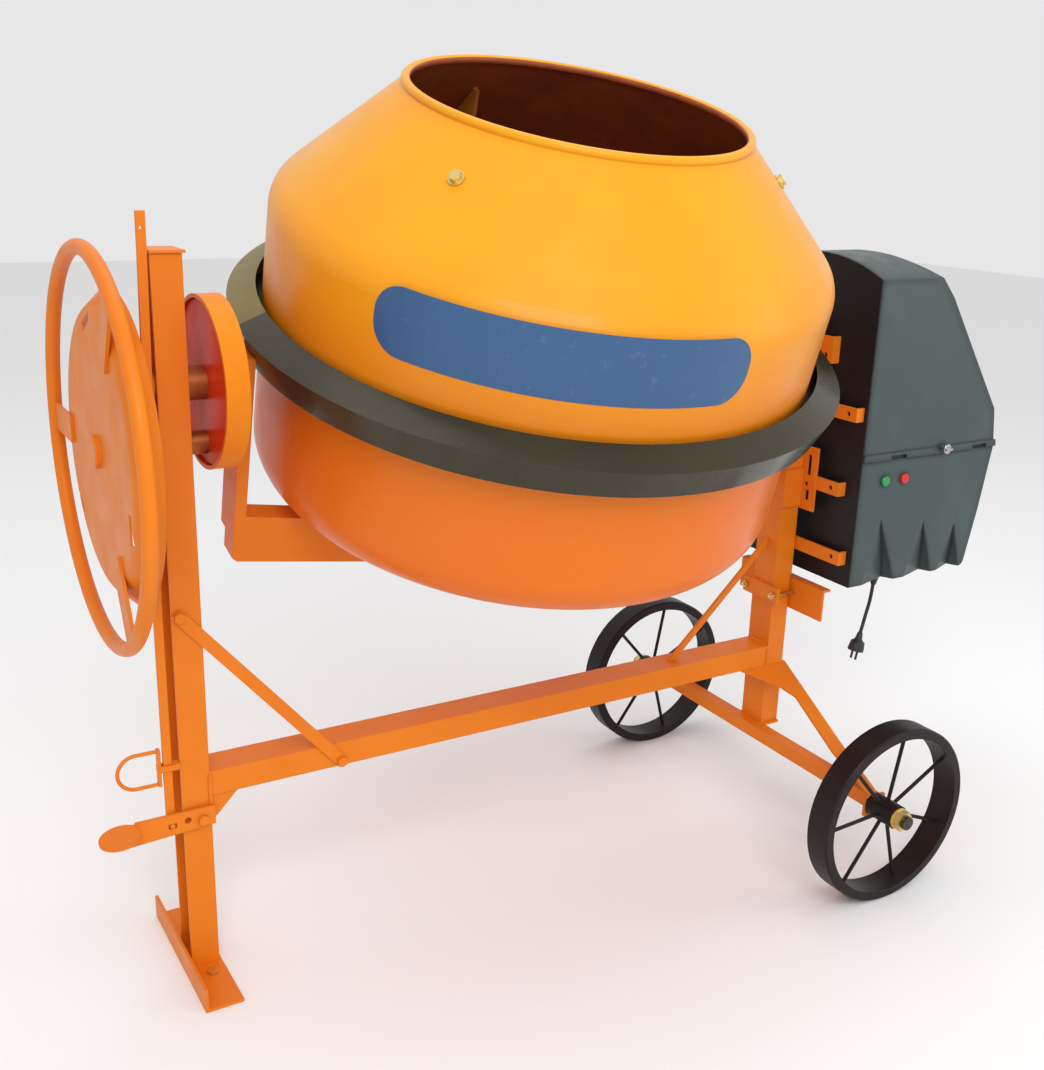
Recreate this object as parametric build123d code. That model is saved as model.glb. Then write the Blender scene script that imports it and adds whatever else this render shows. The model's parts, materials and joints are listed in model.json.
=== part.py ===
from build123d import *
import math
import os

os.makedirs("parts", exist_ok=True)

# ---------------------------------------------------------------- driving dimensions (mm)
# X runs along the main beam, -Y is the loading side, +Z is up, the floor is z = 0.

# Frame
SPAN = 1144.0            # clear distance between the two columns
COL_W = 45.0             # column width along X
COL_D = 60.0             # column depth along Y
RIGHT_W = 42.0           # lower right column width along X
LEFT_TOP = 1150.0        # top of the left column cap
WALL = 4.0               # column and beam wall
BEAM_TOP = 350.0
BEAM_H = 42.0
FOOT_L = 290.0
FOOT_W = 52.0
FOOT_T = 5.0
FOOT_H = 41.0
AXLE_TOP = 180.0         # top of the axle beam, where the right column stands
JOINT_Z = 494.0          # lower end of the upper right column
RIGHT_TOP = 1010.0       # top of the upper right column
MID_Y = COL_D / 2        # symmetry plane of the frame

# Tilt axis, drum and handwheel
TILT_Z = 959.0
TILT_DEG = 16.3          # forward lean of the drum axis at rest
DRUM_X = 585.0           # drum centre along the tilt axis
DRUM_R = 446.0           # outer belt radius
DRUM_WALL = 3.0
DRUM_BOTTOM = -228.0     # along the drum axis from the tilt axis
SEAM = 6.0               # where bowl and belt meet
SHOULDER_Z = 238.0       # where the lines of belt and cone would meet
SHOULDER_R = 60.0        # rounding between belt and cone
MOUTH_Z = 423.0
MOUTH_R = 262.0          # centre radius of the rolled mouth edge
EDGE_R = 75.0            # rounding of the drum bottom edge
ROLL_R = 7.0             # radius of the rolled mouth edge
PADDLE_ANGLES = (-149.8, -29.8, 90.2)
PADDLE_ALONG = 0.665     # height of the paddle bolts on the cone, 0 to 1

# Running gear
WHEEL_R = 168.0
WHEEL_W = 50.0
WHEEL_RADIAL = 18.0
WHEEL_X = SPAN - 20.0
AXLE_MID = -8.0          # middle of the axle along Y
WHEEL_OFF = 358.0        # wheel centre plane from the middle of the axle
HUB_L = 58.0
SPOKES = 7
AXLE_R = 12.5
AXLE_LEG = 26.0          # leg of the axle beam's angle iron
HUB_R = 22.0

# Shafts, bearings and gears
TRUNNION_R = 20.0        # left tilt shaft
SLEEVE_R = 22.0          # right tilt sleeve, hollow
SHAFT_R = 14.0           # drive shaft
HAND_R = 12.5            # handwheel shaft
SPINDLE_R = 25.0         # drum spindle
BUSH_WALL = 5.0          # from a shaft's surface to the outside of its bush
FIT = 0.05               # radial running clearance
GAP = 0.5                # clearance between parts that only pass each other
DISH_X0 = 24.0           # open edge of the dish that holds the tilt gear
DISH_X1 = 58.4
DISH_R = 127.0
COVER_X = 29.0           # inner face of the fixed cover in the mouth of the dish
COVER_T = 3.0
TILT_FACE = 16.0
TILT_M = 4.0             # module of the tilt gear pair
TILT_TEETH = 55
HAND_TEETH = 11
DRIVE_M = 5.0            # module of the drum drive
RING_TEETH = 184
DRIVE_TEETH = 12
RING_IN = DRUM_R
RING_OUT = 478.0
RING_BACK = 15.0         # thickness behind the ring gear teeth

# Handwheel
HAND_RIM_R = 282.0
HAND_TUBE_R = 11.0
HAND_X = -128.0          # plane of the handwheel rim
DISC_R = 228.0
DISC_X = -92.0           # plane of the dished disc's outer edge
DISC_FACE = HAND_X + 2.5
DISC_T = 3.0
SHOULDER_AT = 196.0      # radius where the disc's face turns back to its edge

# Yoke
ARM_X = 77.0             # outer face of the left arm
ARM_T = 19.0
ARM_D = 60.0
ARM_TOP = 46.0           # top of the arms above the tilt axis, where they meet the guard
YOKE_IN = -222.0         # inner top corner of the cross beam, along the drum axis
YOKE_OUT = -304.0
YOKE_DROP = 84.0         # how far the cross beam falls towards the centre
YOKE_BEAM_D = 40.0
YOKE_FRONT = -30.0
HOUSING_R = 46.0
HOUSING_TOP = -262.0
HOUSING_BOTTOM = -392.0

# Gear guard
GUARD_R = 500.0          # at the fold between the sloping top and the skirt
GUARD_IN = 457.0
GUARD_LOW_R = 484.0      # at the lower edge of the skirt
GUARD_T = 3.0
GUARD_TOP = 91.5
GUARD_EDGE = 70.0
GUARD_BOTTOM = 24.0
GUARD_JOINT = 176.0      # angle of the guard joints about the drum axis

# Motor box
BOX_X0 = SPAN + 71.0     # left face of the motor box
BOX_L = 358.0
BOX_X1 = BOX_X0 + BOX_L
BOX_Y0 = -131.0
BOX_Y1 = 191.0
BOX_Z0 = 506.0
BOX_SPLIT = 752.0
BOX_Z1 = 1088.0
BOX_CROWN = 37.0         # rise of the arched lid top at the mid plane
BOX_WALL = 4.0
PLATE_T = 3.0
BIG_PULLEY_R = 142.0
SMALL_PULLEY_R = 36.0
MOTOR_SHAFT_R = 10.0
MOTOR_Z = 600.0
PULLEY_X = BOX_X0 + 31.0
PULLEY_W = 22.0
BUTTON_Z = 711.0
BUTTON_X = (BOX_X0 + 63.0, BOX_X0 + 114.0)
BUTTON_R = 10.0
KNOB_X = BOX_X0 + 209.0
KNOB_Z = 762.0
NOTCH_X = (BOX_X0 + 91.0, BOX_X0 + 313.0)
NOTCH_HALF = 20.0        # half width of the finger notches in the lid rim
FLUTE_DEPTH = 22.0
FLUTES = (                # left, right, tip from the left face, tip above the bottom
    (28.0, 120.0, 63.0, 138.0),
    (141.0, 224.0, 183.0, 117.0),
    (236.0, 304.0, 273.0, 101.0),
)

# Lock and pedal
PEDAL_X = -16.0
PEDAL_Z = 275.0
LINK_X = -64.0
BAR_W = 13.0
BAR_T = 6.0
BAR_TOP = 1202.0

# Mains cord
CORD_D = 7.0
CORD_X = 1327.0
CORD_Y = -88.0

HAND_Z = TILT_Z - TILT_M * (TILT_TEETH - HAND_TEETH) / 2
TILT = math.radians(TILT_DEG)
CONE_TOP = MOUTH_Z - ROLL_R
CONE_TURN = math.atan2(DRUM_R - MOUTH_R, CONE_TOP - SHOULDER_Z)
LUG_BOLT_R = GUARD_R - 24
LUG_BOLT_Z = GUARD_EDGE - 6
DRUM_PLANE = Plane(
    origin=(DRUM_X, MID_Y, TILT_Z),
    x_dir=(1, 0, 0),
    z_dir=(0, -math.sin(TILT), math.cos(TILT)),
)


# ---------------------------------------------------------------- helpers
def block(x0, x1, y0, y1, z0, z1):
    """Box between two corners."""
    part = Box(x1 - x0, y1 - y0, z1 - z0)
    return part.translate(((x0 + x1) / 2, (y0 + y1) / 2, (z0 + z1) / 2))


def rod_x(x0, x1, y, z, r):
    """Round bar along X."""
    return Plane(origin=(x0, y, z), z_dir=(1, 0, 0)) * extruded_circle(r, x1 - x0)


def rod_y(x, y0, y1, z, r):
    """Round bar along Y."""
    return Plane(origin=(x, y0, z), z_dir=(0, 1, 0)) * extruded_circle(r, y1 - y0)


def rod_z(x, y, z0, z1, r):
    """Round bar along Z."""
    return Plane(origin=(x, y, z0), z_dir=(0, 0, 1)) * extruded_circle(r, z1 - z0)


def extruded_circle(r, length):
    """Cylinder standing on the local origin."""
    return extrude(Circle(r), length)


def prism(points, plane, depth):
    """Polygon on a plane, extruded along the plane's normal."""
    return extrude(plane * make_face(Polyline(*points, close=True)), depth)


def turned(points):
    """Solid of revolution about Z from (radius, height) points."""
    face = Plane.XZ * make_face(Polyline(*points, close=True))
    return revolve(face, Axis.Z, 360)


def lathe(*lines):
    """Solid of revolution about Z from a closed chain of lines drawn in X and Z."""
    edges = []
    for line in lines:
        edges.extend(line.edges())
    return revolve(Plane.XZ * make_face(edges), Axis.Z, 360)


def hexagon(r, height):
    """Hexagonal prism standing on the local origin."""
    return extrude(RegularPolygon(r, 6), height)


def bolt(plane, length, r, head=True, nut=0.0):
    """Bolt with a hexagonal head on the plane, shank along -Z, optional nut."""
    part = plane * Pos(0, 0, -length) * extruded_circle(r, length)
    if head:
        part += plane * hexagon(1.8 * r, 1.3 * r)
    if nut:
        part += plane * Pos(0, 0, -nut - 1.5 * r) * hexagon(1.8 * r, 1.5 * r)
    return part


def group(parts):
    """Several separate solids as one shape."""
    solids = []
    for part in parts:
        solids.extend(part.solids())
    return Compound(children=solids)


def involute_point(base, r, side, shift):
    """Point on an involute of the base circle at radius r."""
    t = math.sqrt(max((r / base) ** 2 - 1, 0))
    a = t - math.atan(t)
    ang = shift - side * a
    return (r * math.cos(ang), r * math.sin(ang))


def gear_outline(teeth, module, add, ded, trim):
    """Outline points of an involute gear; trim thins each tooth at the pitch line."""
    pitch = teeth * module / 2
    base = pitch * math.cos(math.radians(20))
    inv = math.tan(math.radians(20)) - math.radians(20)
    half = math.pi / (2 * teeth) - trim / (2 * pitch) + inv
    root = pitch - ded
    tip = pitch + add
    low = max(root, base)
    steps = 4
    points = []
    for n in range(teeth):
        mid = 2 * math.pi * n / teeth
        if root < base:
            points.append((root * math.cos(mid - half), root * math.sin(mid - half)))
        for i in range(steps + 1):
            r = low + (tip - low) * i / steps
            x, y = involute_point(base, r, -1, -half)
            points.append(turn_point(x, y, mid))
        for i in range(steps, -1, -1):
            r = low + (tip - low) * i / steps
            x, y = involute_point(base, r, 1, half)
            points.append(turn_point(x, y, mid))
        if root < base:
            points.append((root * math.cos(mid + half), root * math.sin(mid + half)))
    return points


def turn_point(x, y, ang):
    """Point turned about the origin."""
    c = math.cos(ang)
    s = math.sin(ang)
    return (x * c - y * s, x * s + y * c)


# ---------------------------------------------------------------- frame
def left_column():
    """Open channel with a cap plate, bored for the two shaft bushes."""
    outer = block(-COL_W, 0, 0, COL_D, FOOT_T, LEFT_TOP - WALL)
    inner = block(-COL_W - 1, -WALL, WALL, COL_D - WALL, FOOT_T - 1, LEFT_TOP)
    part = outer - inner
    part += block(-COL_W - 1, 4, -4, COL_D + 4, LEFT_TOP - WALL, LEFT_TOP)
    part -= rod_x(-10, 5, MID_Y, TILT_Z, TRUNNION_R + BUSH_WALL)
    part -= rod_x(-10, 5, MID_Y, HAND_Z, HAND_R + BUSH_WALL)
    return part


def foot_angle():
    """Angle iron lying on the floor under the left column."""
    y0 = MID_Y - FOOT_L / 2
    y1 = MID_Y + FOOT_L / 2
    part = block(-FOOT_W, 4, y0, y1, 0, FOOT_T)
    part += block(-FOOT_W - FOOT_T, -FOOT_W, y0, y1, 0, FOOT_H)
    for y in (-30, COL_D + 30):
        part -= rod_z(-20, y, -1, FOOT_T + 1, 5.5)
    return part


def main_beam():
    """Rectangular tube between the columns with a gusset under its left end."""
    part = block(0, SPAN, 0, COL_D, BEAM_TOP - BEAM_H, BEAM_TOP)
    part -= block(WALL, SPAN - WALL, WALL, COL_D - WALL, BEAM_TOP - BEAM_H + WALL, BEAM_TOP - WALL)
    z = BEAM_TOP - BEAM_H
    tri = [(0, z), (46, z), (10, z - 38), (0, z - 38)]
    part += prism(tri, Plane(origin=(0, 8, 0), x_dir=(1, 0, 0), z_dir=(0, -1, 0)), 5)
    tri_back = Plane(origin=(0, COL_D - 3, 0), x_dir=(1, 0, 0), z_dir=(0, -1, 0))
    part += prism(tri, tri_back, 5)
    return part


def left_strap_brace():
    """Flat diagonal strap from the left column to the beam."""
    width = 20.0
    x0, z0 = -34.0, 616.0
    x1, z1 = 220.0, BEAM_TOP - 32
    length = math.hypot(x1 - x0, z1 - z0)
    ang = math.degrees(math.atan2(z1 - z0, x1 - x0))
    strap = Box(length + 18, 4, width)
    strap = fillet(strap.edges().filter_by(Axis.Y), 5)
    strap -= Pos(-length / 2, 0, 0) * Rot(90, 0, 0) * Cylinder(5.2, 10)
    strap -= Pos(length / 2, 0, 0) * Rot(90, 0, 0) * Cylinder(5.2, 10)
    return Pos((x0 + x1) / 2, -2, (z0 + z1) / 2) * Rot(0, -ang, 0) * strap


def right_brace():
    """Thin diagonal tie from the beam to the right column."""
    x0, z0 = SPAN - 222.0, BEAM_TOP
    x1, z1 = SPAN, 566.0
    ang = math.atan2(z1 - z0, x1 - x0)
    dx = 6 / math.sin(ang)
    dz = 6 / math.cos(ang)
    shape = [(x0 - dx, z0), (x0 + dx, z0), (x1, z1 - dz), (x1, z1 + dz)]
    return prism(shape, Plane(origin=(0, MID_Y + 3, 0), x_dir=(1, 0, 0), z_dir=(0, -1, 0)), 6)


def right_lower_column():
    """Rectangular tube from the axle beam up to the clamped joint."""
    x1 = SPAN + RIGHT_W
    part = block(SPAN, x1, 0, COL_D, AXLE_TOP, JOINT_Z)
    part -= block(SPAN + WALL, x1 - WALL, WALL, COL_D - WALL, AXLE_TOP - 1, JOINT_Z + 1)
    return part


def right_upper_column():
    """Rectangular tube carrying the drive bearing and the motor box."""
    x1 = SPAN + COL_W
    part = block(SPAN, x1, 0, COL_D, JOINT_Z, RIGHT_TOP)
    part -= block(SPAN + WALL, x1 - WALL, WALL, COL_D - WALL, JOINT_Z - 1, RIGHT_TOP - WALL)
    part -= rod_x(SPAN - 1, x1 + 1, MID_Y, TILT_Z, SLEEVE_R + BUSH_WALL)
    return part


def clamp_bar():
    """Flat bar against the inner side of the right column joint."""
    part = block(SPAN - 8, SPAN, -20, COL_D + 20, JOINT_Z - 47, JOINT_Z - 15)
    for y in (-10, COL_D + 10):
        part -= rod_x(SPAN - 9, SPAN + 1, y, JOINT_Z - 31, 4.2)
    return part


def clamp_angle():
    """Angle iron outside the right column joint that also carries the motor box."""
    x0 = SPAN + COL_W
    part = block(x0, x0 + 5, -90, COL_D + 90, JOINT_Z - 68, JOINT_Z - 4)
    part += block(x0 + 5, x0 + 20, -90, COL_D + 90, JOINT_Z - 9, JOINT_Z - 4)
    for y in (-10, COL_D + 10):
        part -= rod_x(x0 - 1, x0 + 6, y, JOINT_Z - 31, 4.2)
    return part


def clamp_bolts():
    """Two long bolts that draw the clamp bar and clamp angle together."""
    parts = []
    for y in (-10, COL_D + 10):
        plane = Plane(origin=(SPAN + COL_W + 5, y, JOINT_Z - 31), z_dir=(1, 0, 0))
        parts.append(bolt(plane, COL_W + 24, 4.0, nut=COL_W + 13))
    return group(parts)


def axle_beam():
    """Angle iron across the wheels with an end plate and a spindle at each end."""
    half = WHEEL_OFF - HUB_L / 2 - 9
    y0 = AXLE_MID - half
    y1 = AXLE_MID + half
    x0 = WHEEL_X - 4
    part = block(x0, x0 + 5, y0, y1, AXLE_TOP - AXLE_LEG, AXLE_TOP)
    part += block(x0, x0 + AXLE_LEG, y0, y1, AXLE_TOP - 5, AXLE_TOP)
    part += block(x0, SPAN + RIGHT_W, -6, COL_D + 6, AXLE_TOP - 5, AXLE_TOP)
    for side in (-1, 1):
        ya = AXLE_MID + side * half
        yb = ya + side * 6
        part += block(x0 - 14, x0 + 34, min(ya, yb), max(ya, yb), AXLE_TOP - 36, AXLE_TOP)
        yc = AXLE_MID + side * (WHEEL_OFF + HUB_L / 2 + 25)
        part += rod_y(WHEEL_X, min(yb, yc), max(yb, yc), WHEEL_R, AXLE_R)
    return part


def axle_brace(start, end):
    """Sloping strap from the beam's underside at start to the axle beam at end."""
    side = 1 if end > start else -1
    run = abs(end - start)
    under = BEAM_TOP - BEAM_H
    slope = math.atan2(under - AXLE_TOP, run)
    plan = [(-60, 0), (50, 0), (14, 0.65 * run), (0, run), (-22, run)]
    plan += [(-18, 0.68 * run), (6, 86), (-8, 56)]
    stretch = 1 / math.cos(slope)
    plane = Plane(
        origin=(SPAN, start, under),
        x_dir=(1, 0, 0),
        z_dir=(0, side * math.sin(slope), math.cos(slope)),
    )
    part = prism([(x, side * y * stretch) for x, y in plan], plane, -5)
    pad = sorted((start, start - side * 12))
    part += block(SPAN - 60, SPAN + 50, pad[0], pad[1], under - 5, under)
    part -= block(SPAN, SPAN + RIGHT_W, 0, COL_D, AXLE_TOP, JOINT_Z)
    part -= block(WHEEL_X - 30, SPAN + RIGHT_W + 30, -500, 500, AXLE_TOP - 40, AXLE_TOP)
    return part


def axle_braces():
    """Front and rear sloping straps."""
    half = WHEEL_OFF - HUB_L / 2 - 13
    return group([axle_brace(0, AXLE_MID - half), axle_brace(COL_D, AXLE_MID + half)])


def foot_bolts():
    """Two bolts through the foot angle."""
    parts = []
    for y in (-30, COL_D + 30):
        parts.append(bolt(Plane(origin=(-20, y, FOOT_T), z_dir=(0, 0, 1)), FOOT_T, 5.0))
    return group(parts)


def frame_bolts():
    """Strap bolts and the pedal's pivot bolt, painted with the frame."""
    parts = []
    for x, z in ((-34.0, 616.0), (220.0, BEAM_TOP - 32)):
        parts.append(bolt(Plane(origin=(x, -4, z), z_dir=(0, -1, 0)), 4, 5.0))
    pivot = Plane(origin=(PEDAL_X, -9.5, PEDAL_Z), z_dir=(0, -1, 0))
    parts.append(bolt(pivot, 9.5, 5.0))
    return group(parts)


def bush(x0, x1, z, shaft_r):
    """Plain bearing bush along X with a running clearance round its shaft."""
    outer = rod_x(x0, x1, MID_Y, z, shaft_r + BUSH_WALL)
    return outer - rod_x(x0 - 1, x1 + 1, MID_Y, z, shaft_r + FIT)


def tilt_bearing():
    """Bush for the left tilt shaft."""
    return bush(-COL_W, COVER_X + COVER_T, TILT_Z, TRUNNION_R)


def handwheel_bearing():
    """Bush for the handwheel shaft."""
    return bush(-COL_W, COVER_X + COVER_T, HAND_Z, HAND_R)


def drive_bearing():
    """Bush for the hollow right tilt sleeve."""
    return bush(SPAN - 6, SPAN + COL_W + 6, TILT_Z, SLEEVE_R)


def bearing_plate():
    """Saddle with a slotted setting plate on the outer side of the right column."""
    x1 = SPAN + COL_W
    part = block(SPAN, x1 + 4, -4, 0, 640, 716)
    plate = block(x1, x1 + 4, -40, COL_D, 636, 762)
    for z0, z1 in ((706, 746), (656, 676)):
        plate -= block(x1 - 1, x1 + 5, -24, -14, z0, z1)
    part += plate - block(x1 - 1, x1 + 5, -19.2, -10.8, 684, 692)
    return part + rod_x(x1 + 4, x1 + 12, -24, 690, 7)


def carrying_tab(y0, y1, z, hole_y):
    """Flat bar on the right column's outer side, turned in to the back plate at its end."""
    x0 = SPAN + COL_W + 4
    height = 26
    part = block(x0, x0 + 5, y0, y1, z - height / 2, z + height / 2)
    part += block(x0, BOX_X0 - PLATE_T, y0 - 5, y0, z - height / 2, z + height / 2)
    part -= rod_x(x0 - 1, x0 + 6, hole_y, z, 5)
    return part


def box_tabs():
    """Flat tabs that carry the motor box on the right column."""
    x0 = SPAN + COL_W
    parts = []
    for y0, z in ((-112, 562), (-118, 842)):
        foot = block(x0, x0 + 4, 6, 32, z - 13, z + 13)
        parts.append(carrying_tab(y0, 32, z, y0 + 16) + foot)
    parts.append(carrying_tab(-92, -34, 694, -76))
    top = block(x0, x0 + 4, 0, 12, 926, 976) + block(x0 + 4, x0 + 9, -40, 12, 926, 976)
    top += block(x0 + 4, BOX_X0 - PLATE_T, -45, -40, 926, 976)
    top -= rod_x(x0, x0 + 12, -28, 940, 5)
    top -= rod_x(x0 - 1, x0 + 30, MID_Y, TILT_Z, SLEEVE_R + 6)
    parts.append(top)
    return group(parts)


def bar_guide():
    """Guide bracket of the lock bar with its round wire loop."""
    z = 372.0
    outer = block(-COL_W - 34, -COL_W, -3, 12, z - 5, z + 5)
    slot = block(LINK_X - BAR_W / 2 - 1, LINK_X + BAR_W / 2 + 1, -1, BAR_T + 3, z - 6, z + 6)
    part = outer - slot
    wire = 3.0
    path = Wire(
        [
            Edge.make_line((-78, 4, z + 30), (-110, 4, z + 30)),
            Edge.make_three_point_arc((-110, 4, z + 30), (-139, 4, z + 2), (-110, 4, z - 26)),
            Edge.make_line((-110, 4, z - 26), (-78, 4, z - 26)),
        ]
    )
    start = Plane(origin=(-78, 4, z + 30), z_dir=(-1, 0, 0))
    part += sweep(start * Circle(wire), path=path)
    part += block(-79, -74, -1, 9, z - 29, z + 33)
    return part


# ---------------------------------------------------------------- motor box
def box_outline(grow):
    """Front outline of the motor box, shrunk when grow is negative."""
    pts = [
        (BOX_X0, BOX_Z0),
        (BOX_X1 - 44, BOX_Z0),
        (BOX_X1 - 20, 622),
        (BOX_X1, BOX_SPLIT),
        (BOX_X1 - 12, 828),
        (BOX_X1 - 112, 970),
        (BOX_X1 - 168, 1050),
        (BOX_X1 - 238, BOX_Z1 + BOX_CROWN),
        (BOX_X0, BOX_Z1 + BOX_CROWN),
    ]
    if grow == 0:
        return pts
    cx, cz = (BOX_X0 + BOX_X1) / 2, (BOX_Z0 + BOX_Z1) / 2
    out = []
    for x, z in pts:
        nx = x if x == BOX_X0 else x + grow
        nz = z - grow if z < cz - 200 else (z + grow if z > cz + 200 else z + 0.4 * grow)
        out.append((nx, nz))
    return out


def box_body(grow):
    """Solid form of the whole motor box with its arched top."""
    w = BOX_Y1 - BOX_Y0
    plane = Plane(origin=(0, BOX_Y0 - grow, 0), x_dir=(1, 0, 0), z_dir=(0, -1, 0))
    body = prism(box_outline(grow), plane, -(w + 2 * grow))
    body = fillet(body.edges().filter_by(Axis.Y).sort_by(Axis.X)[2:-1], 14 + grow)
    top = BOX_Z1 + BOX_CROWN + grow
    y0 = BOX_Y0 - grow
    y1 = BOX_Y1 + grow
    arch = Wire(
        [
            Edge.make_line((BOX_X0 - 1, y0, BOX_Z0 - 5), (BOX_X0 - 1, y0, BOX_Z1 + grow)),
            Edge.make_three_point_arc(
                (BOX_X0 - 1, y0, BOX_Z1 + grow),
                (BOX_X0 - 1, MID_Y, top),
                (BOX_X0 - 1, y1, BOX_Z1 + grow),
            ),
            Edge.make_line((BOX_X0 - 1, y1, BOX_Z1 + grow), (BOX_X0 - 1, y1, BOX_Z0 - 5)),
            Edge.make_line((BOX_X0 - 1, y1, BOX_Z0 - 5), (BOX_X0 - 1, y0, BOX_Z0 - 5)),
        ]
    )
    return body & extrude(Face(arch), BOX_X1 - BOX_X0 + 10, dir=(1, 0, 0))


def flutes(shift):
    """Tapered grooves in the lower front of the motor box, moved inwards by shift."""
    tools = []
    z0 = BOX_Z0 - 5
    y0 = BOX_Y0 + shift
    for left, right, tip, height in FLUTES:
        foot = [(left - 10, y0 - 4), (right + 2, y0 - 4), (right - 12, y0 + FLUTE_DEPTH)]
        base = Pos(BOX_X0, 0, z0) * make_face(Polyline(*foot, close=True))
        tools.append(loft([base, Vertex(BOX_X0 + tip, y0 - 1, BOX_Z0 + height)]))
    return tools


def box_back_plate():
    """Steel plate that closes the column side of the box, with the motor shelf."""
    x0 = BOX_X0 - PLATE_T
    plate = box_body(0).translate((-PLATE_T, 0, 0)) & block(x0, BOX_X0, -300, 400, 0, 2000)
    plate -= rod_x(x0 - 1, BOX_X0 + 1, MID_Y, TILT_Z, SHAFT_R + 2)
    plate += block(BOX_X0, PULLEY_X + 240, MID_Y - 80, MID_Y + 80, MOTOR_Z - 80, MOTOR_Z - 76)
    plate += block(BOX_X0, BOX_X0 + 4, MID_Y - 80, MID_Y + 80, MOTOR_Z - 76, MOTOR_Z - 45)
    return plate


def box_base():
    """Lower plastic shell of the motor box with its flutes and button holes."""
    outer = box_body(0)
    for tool in flutes(0):
        outer -= tool
    inner = box_body(-BOX_WALL)
    for tool in flutes(BOX_WALL):
        inner -= tool
    part = outer & block(BOX_X0, BOX_X1 + 20, -300, 400, 0, BOX_SPLIT - GAP)
    part -= inner & block(BOX_X0 - 1, BOX_X1 + 20, -300, 400, BOX_Z0 + BOX_WALL, 2000)
    for x in BUTTON_X:
        part -= rod_y(x, BOX_Y0 - 2, BOX_Y0 + 12, BUTTON_Z, BUTTON_R + 0.3)
    part -= rod_z(CORD_X, CORD_Y, BOX_Z0 - 2, BOX_Z0 + 12, 6)
    return part


def box_lid():
    """Upper plastic cover with an arched top and a rim along its lower edge."""
    part = box_body(0) & block(BOX_X0 + GAP, BOX_X1 + 20, -300, 400, BOX_SPLIT, 2000)
    part -= box_body(-BOX_WALL)
    band = block(BOX_X0 + GAP, BOX_X1 + 20, -300, 400, BOX_SPLIT, BOX_SPLIT + 13)
    rim = (box_body(3) & band) - box_body(-0.5)
    part += rim
    for x in NOTCH_X:
        part -= block(x - NOTCH_HALF, x + NOTCH_HALF, BOX_Y0 - 5, BOX_Y0 + 1.5, BOX_SPLIT - 1, BOX_SPLIT + 8)
    part -= rod_y(KNOB_X, BOX_Y0 - 10, BOX_Y0 + 12, KNOB_Z, 6 + FIT)
    return part


def lid_knob():
    """Turning lock knob of the lid with its tongue inside."""
    part = rod_y(KNOB_X, BOX_Y0 - 16, BOX_Y0 - 4, KNOB_Z, 10)
    part = fillet(part.edges().filter_by(GeomType.CIRCLE), 2.5)
    part += rod_y(KNOB_X, BOX_Y0 - 4, BOX_Y0 + 9, KNOB_Z, 6)
    part += block(KNOB_X - 6, KNOB_X + 20, BOX_Y0 + 6, BOX_Y0 + 9, KNOB_Z - 4, KNOB_Z + 4)
    part += block(KNOB_X - 9, KNOB_X + 9, BOX_Y0 - 20, BOX_Y0 - 16, KNOB_Z - 2, KNOB_Z + 2)
    return part


def push_button(x):
    """Round push button standing a little proud of the box face."""
    part = rod_y(x, BOX_Y0 - 5, BOX_Y0 + 14, BUTTON_Z, BUTTON_R)
    part = chamfer(part.edges().filter_by(GeomType.CIRCLE).sort_by(Axis.Y)[:1], 1.5)
    return part


def motor():
    """Electric motor with finned body, end bells, foot plate and shaft bore."""
    x0, x1 = PULLEY_X + 50, PULLEY_X + 250
    part = rod_x(x0 + 20, x1 - 20, MID_Y, MOTOR_Z, 62)
    for n in range(24):
        fin = block(x0 + 24, x1 - 24, MID_Y - 1.5, MID_Y + 1.5, MOTOR_Z + 60, MOTOR_Z + 69)
        part += fin.rotate(Axis((0, MID_Y, MOTOR_Z), (1, 0, 0)), 15 * n)
    part += rod_x(x0, x0 + 20, MID_Y, MOTOR_Z, 66)
    part += rod_x(x1 - 20, x1 + 14, MID_Y, MOTOR_Z, 66)
    part += block(x0 + 20, x1 - 20, MID_Y - 60, MID_Y + 60, MOTOR_Z - 76, MOTOR_Z - 68)
    part += block(x0 + 40, x1 - 40, MID_Y - 45, MID_Y + 45, MOTOR_Z - 70, MOTOR_Z - 50)
    return part - rod_x(x0 - 1, x0 + 42, MID_Y, MOTOR_Z, MOTOR_SHAFT_R + FIT)


def pulley(r, bore, z):
    """Single-groove V pulley on the X axis."""
    w = PULLEY_W / 2
    profile = [
        (bore, -w),
        (r, -w),
        (r, -7),
        (r - 13, -3.5),
        (r - 13, 3.5),
        (r, 7),
        (r, w),
        (bore, w),
    ]
    return Plane(origin=(PULLEY_X, MID_Y, z), x_dir=(0, 1, 0), z_dir=(1, 0, 0)) * turned(profile)


def large_pulley():
    """Driven pulley with a web and round lightening holes."""
    part = pulley(BIG_PULLEY_R, SHAFT_R, TILT_Z)
    cut = PULLEY_W / 2 - 4
    for x0, x1 in ((-PULLEY_W / 2 - 1, -cut), (cut, PULLEY_W / 2 + 1)):
        ring = rod_x(PULLEY_X + x0, PULLEY_X + x1, MID_Y, TILT_Z, BIG_PULLEY_R - 20)
        part -= ring - rod_x(PULLEY_X + x0, PULLEY_X + x1, MID_Y, TILT_Z, 32)
    for n in range(5):
        ang = math.radians(72 * n)
        y = MID_Y + 76 * math.cos(ang)
        z = TILT_Z + 76 * math.sin(ang)
        part -= rod_x(PULLEY_X - 20, PULLEY_X + 20, y, z, 24)
    return part


def motor_pulley():
    """Small driving pulley on the motor's rotor shaft."""
    part = pulley(SMALL_PULLEY_R, 0, MOTOR_Z)
    return part + rod_x(PULLEY_X + PULLEY_W / 2, PULLEY_X + 90, MID_Y, MOTOR_Z, MOTOR_SHAFT_R)


def drive_belt():
    """V belt around both pulleys, standing just clear of the groove flanks."""
    outer = belt_loop(BIG_PULLEY_R + 0.5, SMALL_PULLEY_R + 0.5, 8.4)
    inner = belt_loop(BIG_PULLEY_R - 8, SMALL_PULLEY_R - 8, 12)
    return outer - inner


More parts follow.
